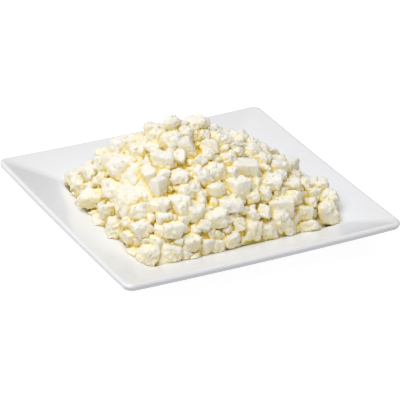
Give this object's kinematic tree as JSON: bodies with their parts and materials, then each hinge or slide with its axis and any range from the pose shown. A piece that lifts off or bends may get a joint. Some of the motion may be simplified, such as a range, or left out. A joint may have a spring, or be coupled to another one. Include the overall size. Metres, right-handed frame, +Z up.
{
  "type": "dish of crumbled feta",
  "caption": "Square white porcelain dish with rounded corners and a broad sloping rim, its well heaped high with irregular crumbled feta cheese.",
  "frame": {"origin": "under the middle of the dish, on the plane of its foot ring", "axes": "+Z up; X and Y along the dish's straight sides; the picture looks from the corner between -X and -Y, nearer to -Y"},
  "size_m": [0.2168, 0.2168, 0.0936],
  "materials": {
    "porcelain": "gloss",
    "feta": "matte"
  },
  "bodies": {
    "root": {"dish": "porcelain", "feta_heap": "feta"}
  },
  "joints": []
}
